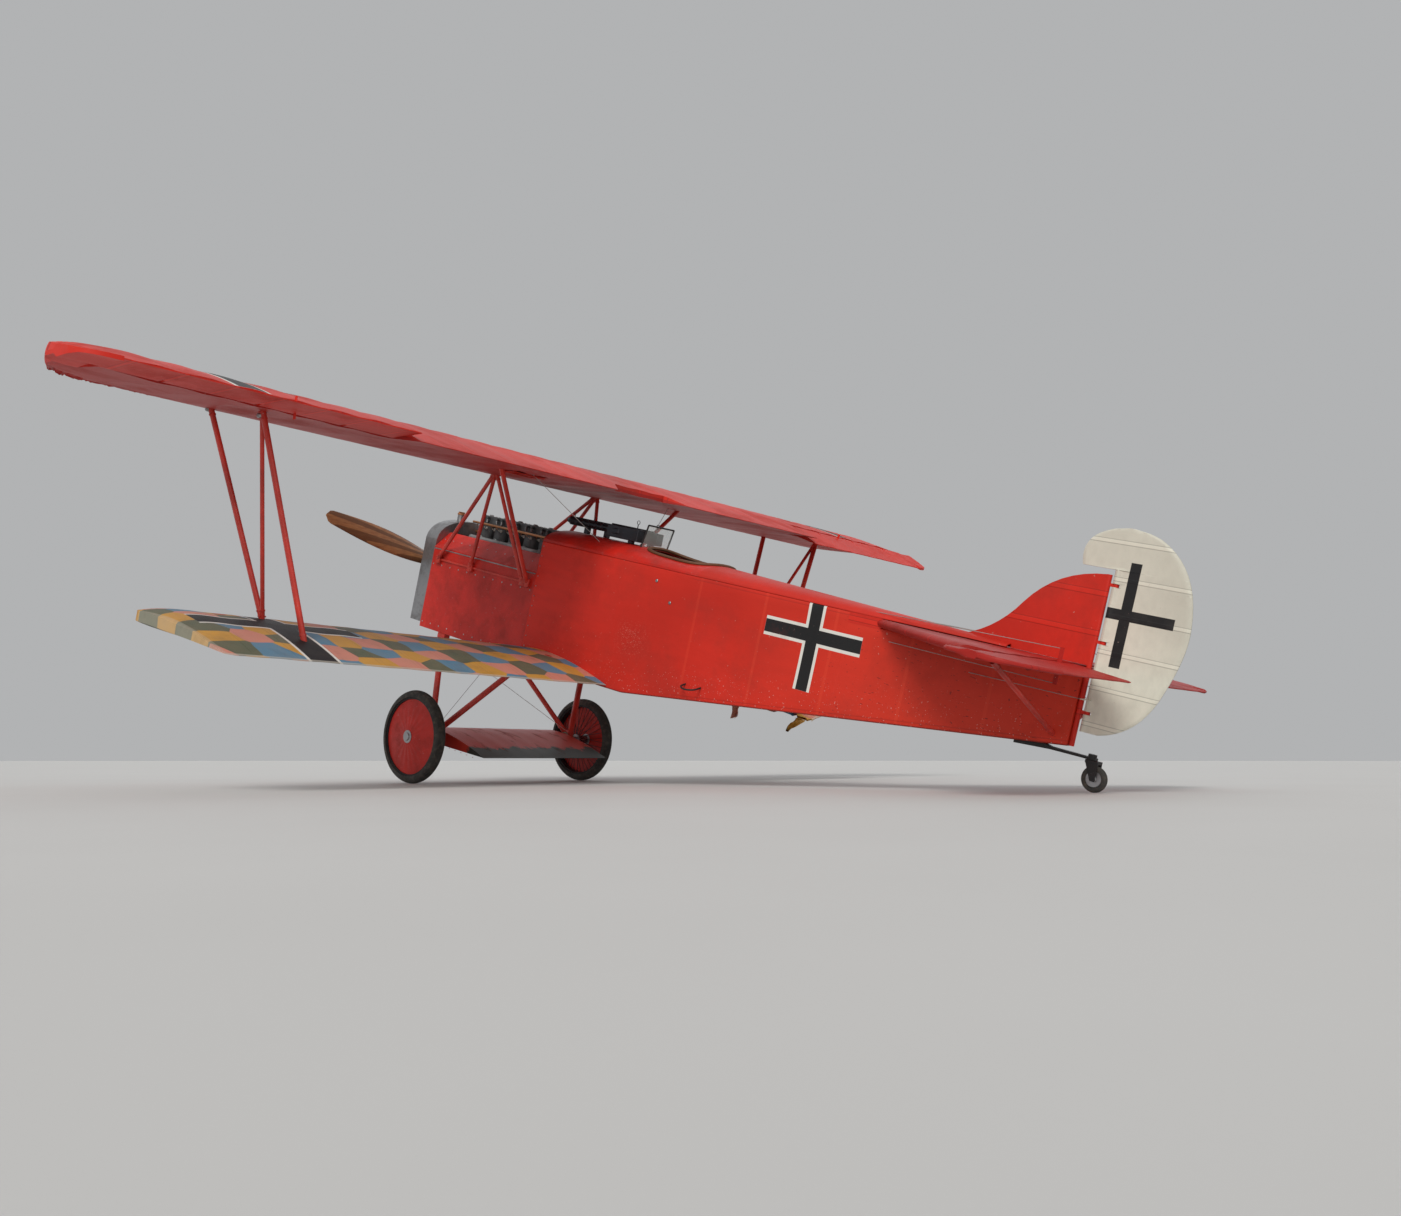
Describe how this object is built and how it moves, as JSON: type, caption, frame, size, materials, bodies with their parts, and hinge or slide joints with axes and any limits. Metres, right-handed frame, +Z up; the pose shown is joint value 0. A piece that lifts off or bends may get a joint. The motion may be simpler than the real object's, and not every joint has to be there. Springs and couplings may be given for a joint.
{
  "type": "biplane",
  "caption": "Full-size single-seat biplane parked on its gear: straight wings, slab fuselage, open cockpit, inline engine, tail wheel; the starboard lower wing is broken near its tip.",
  "frame": {"origin": "centre of the bounding box in plan, at the lowest point of the main tyres (the ground)", "axes": "+X to port across the span, +Y aft towards the tail, +Z up; the nose points to -Y and is raised as parked"},
  "size_m": [8.94, 6.9494, 2.7502],
  "materials": {
    "red_fabric": "glossy dope, weathered",
    "red_panel": "gloss enamel, chipped",
    "red_wood": "painted gloss",
    "lozenge_fabric": "doped printed cloth",
    "cream_fabric": "satin dope",
    "strut": "satin",
    "radiator": "satin shell, dull core",
    "engine": "cast, oily",
    "exhaust": "heat-stained",
    "seat_metal": "dull",
    "black_steel": "satin black",
    "bare_wood": "varnished",
    "propeller_wood": "varnished",
    "gun_metal": "blued",
    "leather": "worn",
    "glass": "clear",
    "wheel_cover": "satin over cloth",
    "tyre": "matt",
    "tail_tyre": "matt"
  },
  "bodies": {
    "airframe": {"fuselage": "red_fabric", "fore_decking": "red_panel", "turtle_decking": "red_fabric", "cockpit_rim": "leather", "radiator": "radiator", "engine_block": "engine", "cylinder_row": "engine", "exhaust": "exhaust", "intake": "engine", "cowl_side_left": "red_panel", "cowl_side_right": "red_panel", "cowl_shoulder_left": "red_panel", "cowl_shoulder_right": "red_panel", "chin_panel": "red_panel", "upper_wing": "red_fabric", "lower_wing_left": "lozenge_fabric", "lower_wing_right": "lozenge_fabric", "lower_wing_right_tip": "lozenge_fabric", "interplane_strut_left": "strut", "interplane_strut_right": "strut", "cabane_left": "strut", "cabane_right": "strut", "gear_vee_left": "strut", "gear_vee_right": "strut", "axle_wing": "red_wood", "tailplane": "red_fabric", "fin": "red_fabric", "tail_strut_left": "strut", "tail_strut_right": "strut", "tail_spring": "black_steel", "seat": "seat_metal", "control_stick": "black_steel", "rudder_bar": "bare_wood", "instrument_panel": "bare_wood", "gun_left": "gun_metal", "gun_right": "gun_metal", "windscreen": "glass", "foot_step": "black_steel", "lift_loop": "black_steel"},
    "aileron_left": {"aileron_left": "red_fabric"},
    "aileron_right": {"aileron_right": "red_fabric"},
    "elevator": {"elevator": "red_fabric"},
    "rudder": {"rudder": "cream_fabric"},
    "propeller": {"propeller": "propeller_wood"},
    "wheel_left": {"wheel_left": "wheel_cover", "tyre_left": "tyre"},
    "wheel_right": {"wheel_right": "wheel_cover", "tyre_right": "tyre"},
    "tail_fork": {"tail_fork": "black_steel"},
    "tail_wheel": {"tail_wheel": "tail_tyre"}
  },
  "joints": [
    {"name": "wheel_left_spin", "type": "hinge", "parent": "airframe", "child": "wheel_left", "pos_m": [0.955, -2.45957, 0.37978], "axis": [1, 0, 0], "continuous": true},
    {"name": "wheel_right_spin", "type": "hinge", "parent": "airframe", "child": "wheel_right", "pos_m": [-0.955, -2.45957, 0.37978], "axis": [1, 0, 0], "continuous": true},
    {"name": "propeller_spin", "type": "hinge", "parent": "airframe", "child": "propeller", "pos_m": [0, -3.35709, 2.00869], "axis": [0, -0.9637, 0.2671], "continuous": true},
    {"name": "rudder_hinge", "type": "hinge", "parent": "airframe", "child": "rudder", "pos_m": [0, 2.95509, 0.93362], "axis": [0, 0.2671, 0.9637], "range_deg": [-28, 28]},
    {"name": "elevator_hinge", "type": "hinge", "parent": "airframe", "child": "elevator", "pos_m": [0, 2.78711, 0.73943], "axis": [1, 0, 0], "range_deg": [-25, 25]},
    {"name": "aileron_left_hinge", "type": "hinge", "parent": "airframe", "child": "aileron_left", "pos_m": [2.3, -0.96965, 2.3857], "axis": [1, 0, 0], "range_deg": [-30, 10]},
    {"name": "aileron_right_hinge", "type": "hinge", "parent": "airframe", "child": "aileron_right", "pos_m": [-2.3, -0.96965, 2.3857], "axis": [1, 0, 0], "range_deg": [-10, 30]},
    {"name": "tail_fork_swivel", "type": "hinge", "parent": "airframe", "child": "tail_fork", "pos_m": [0, 2.84309, 0.19261], "axis": [0, 0.2671, 0.9637], "range_deg": [-40, 40]},
    {"name": "tail_wheel_spin", "type": "hinge", "parent": "tail_fork", "child": "tail_wheel", "pos_m": [0, 2.85332, 0.07978], "axis": [1, 0, 0], "continuous": true}
  ],
  "couplings": [
    {"joint": "aileron_right_hinge", "follows": "aileron_left_hinge", "ratio": -1}
  ]
}
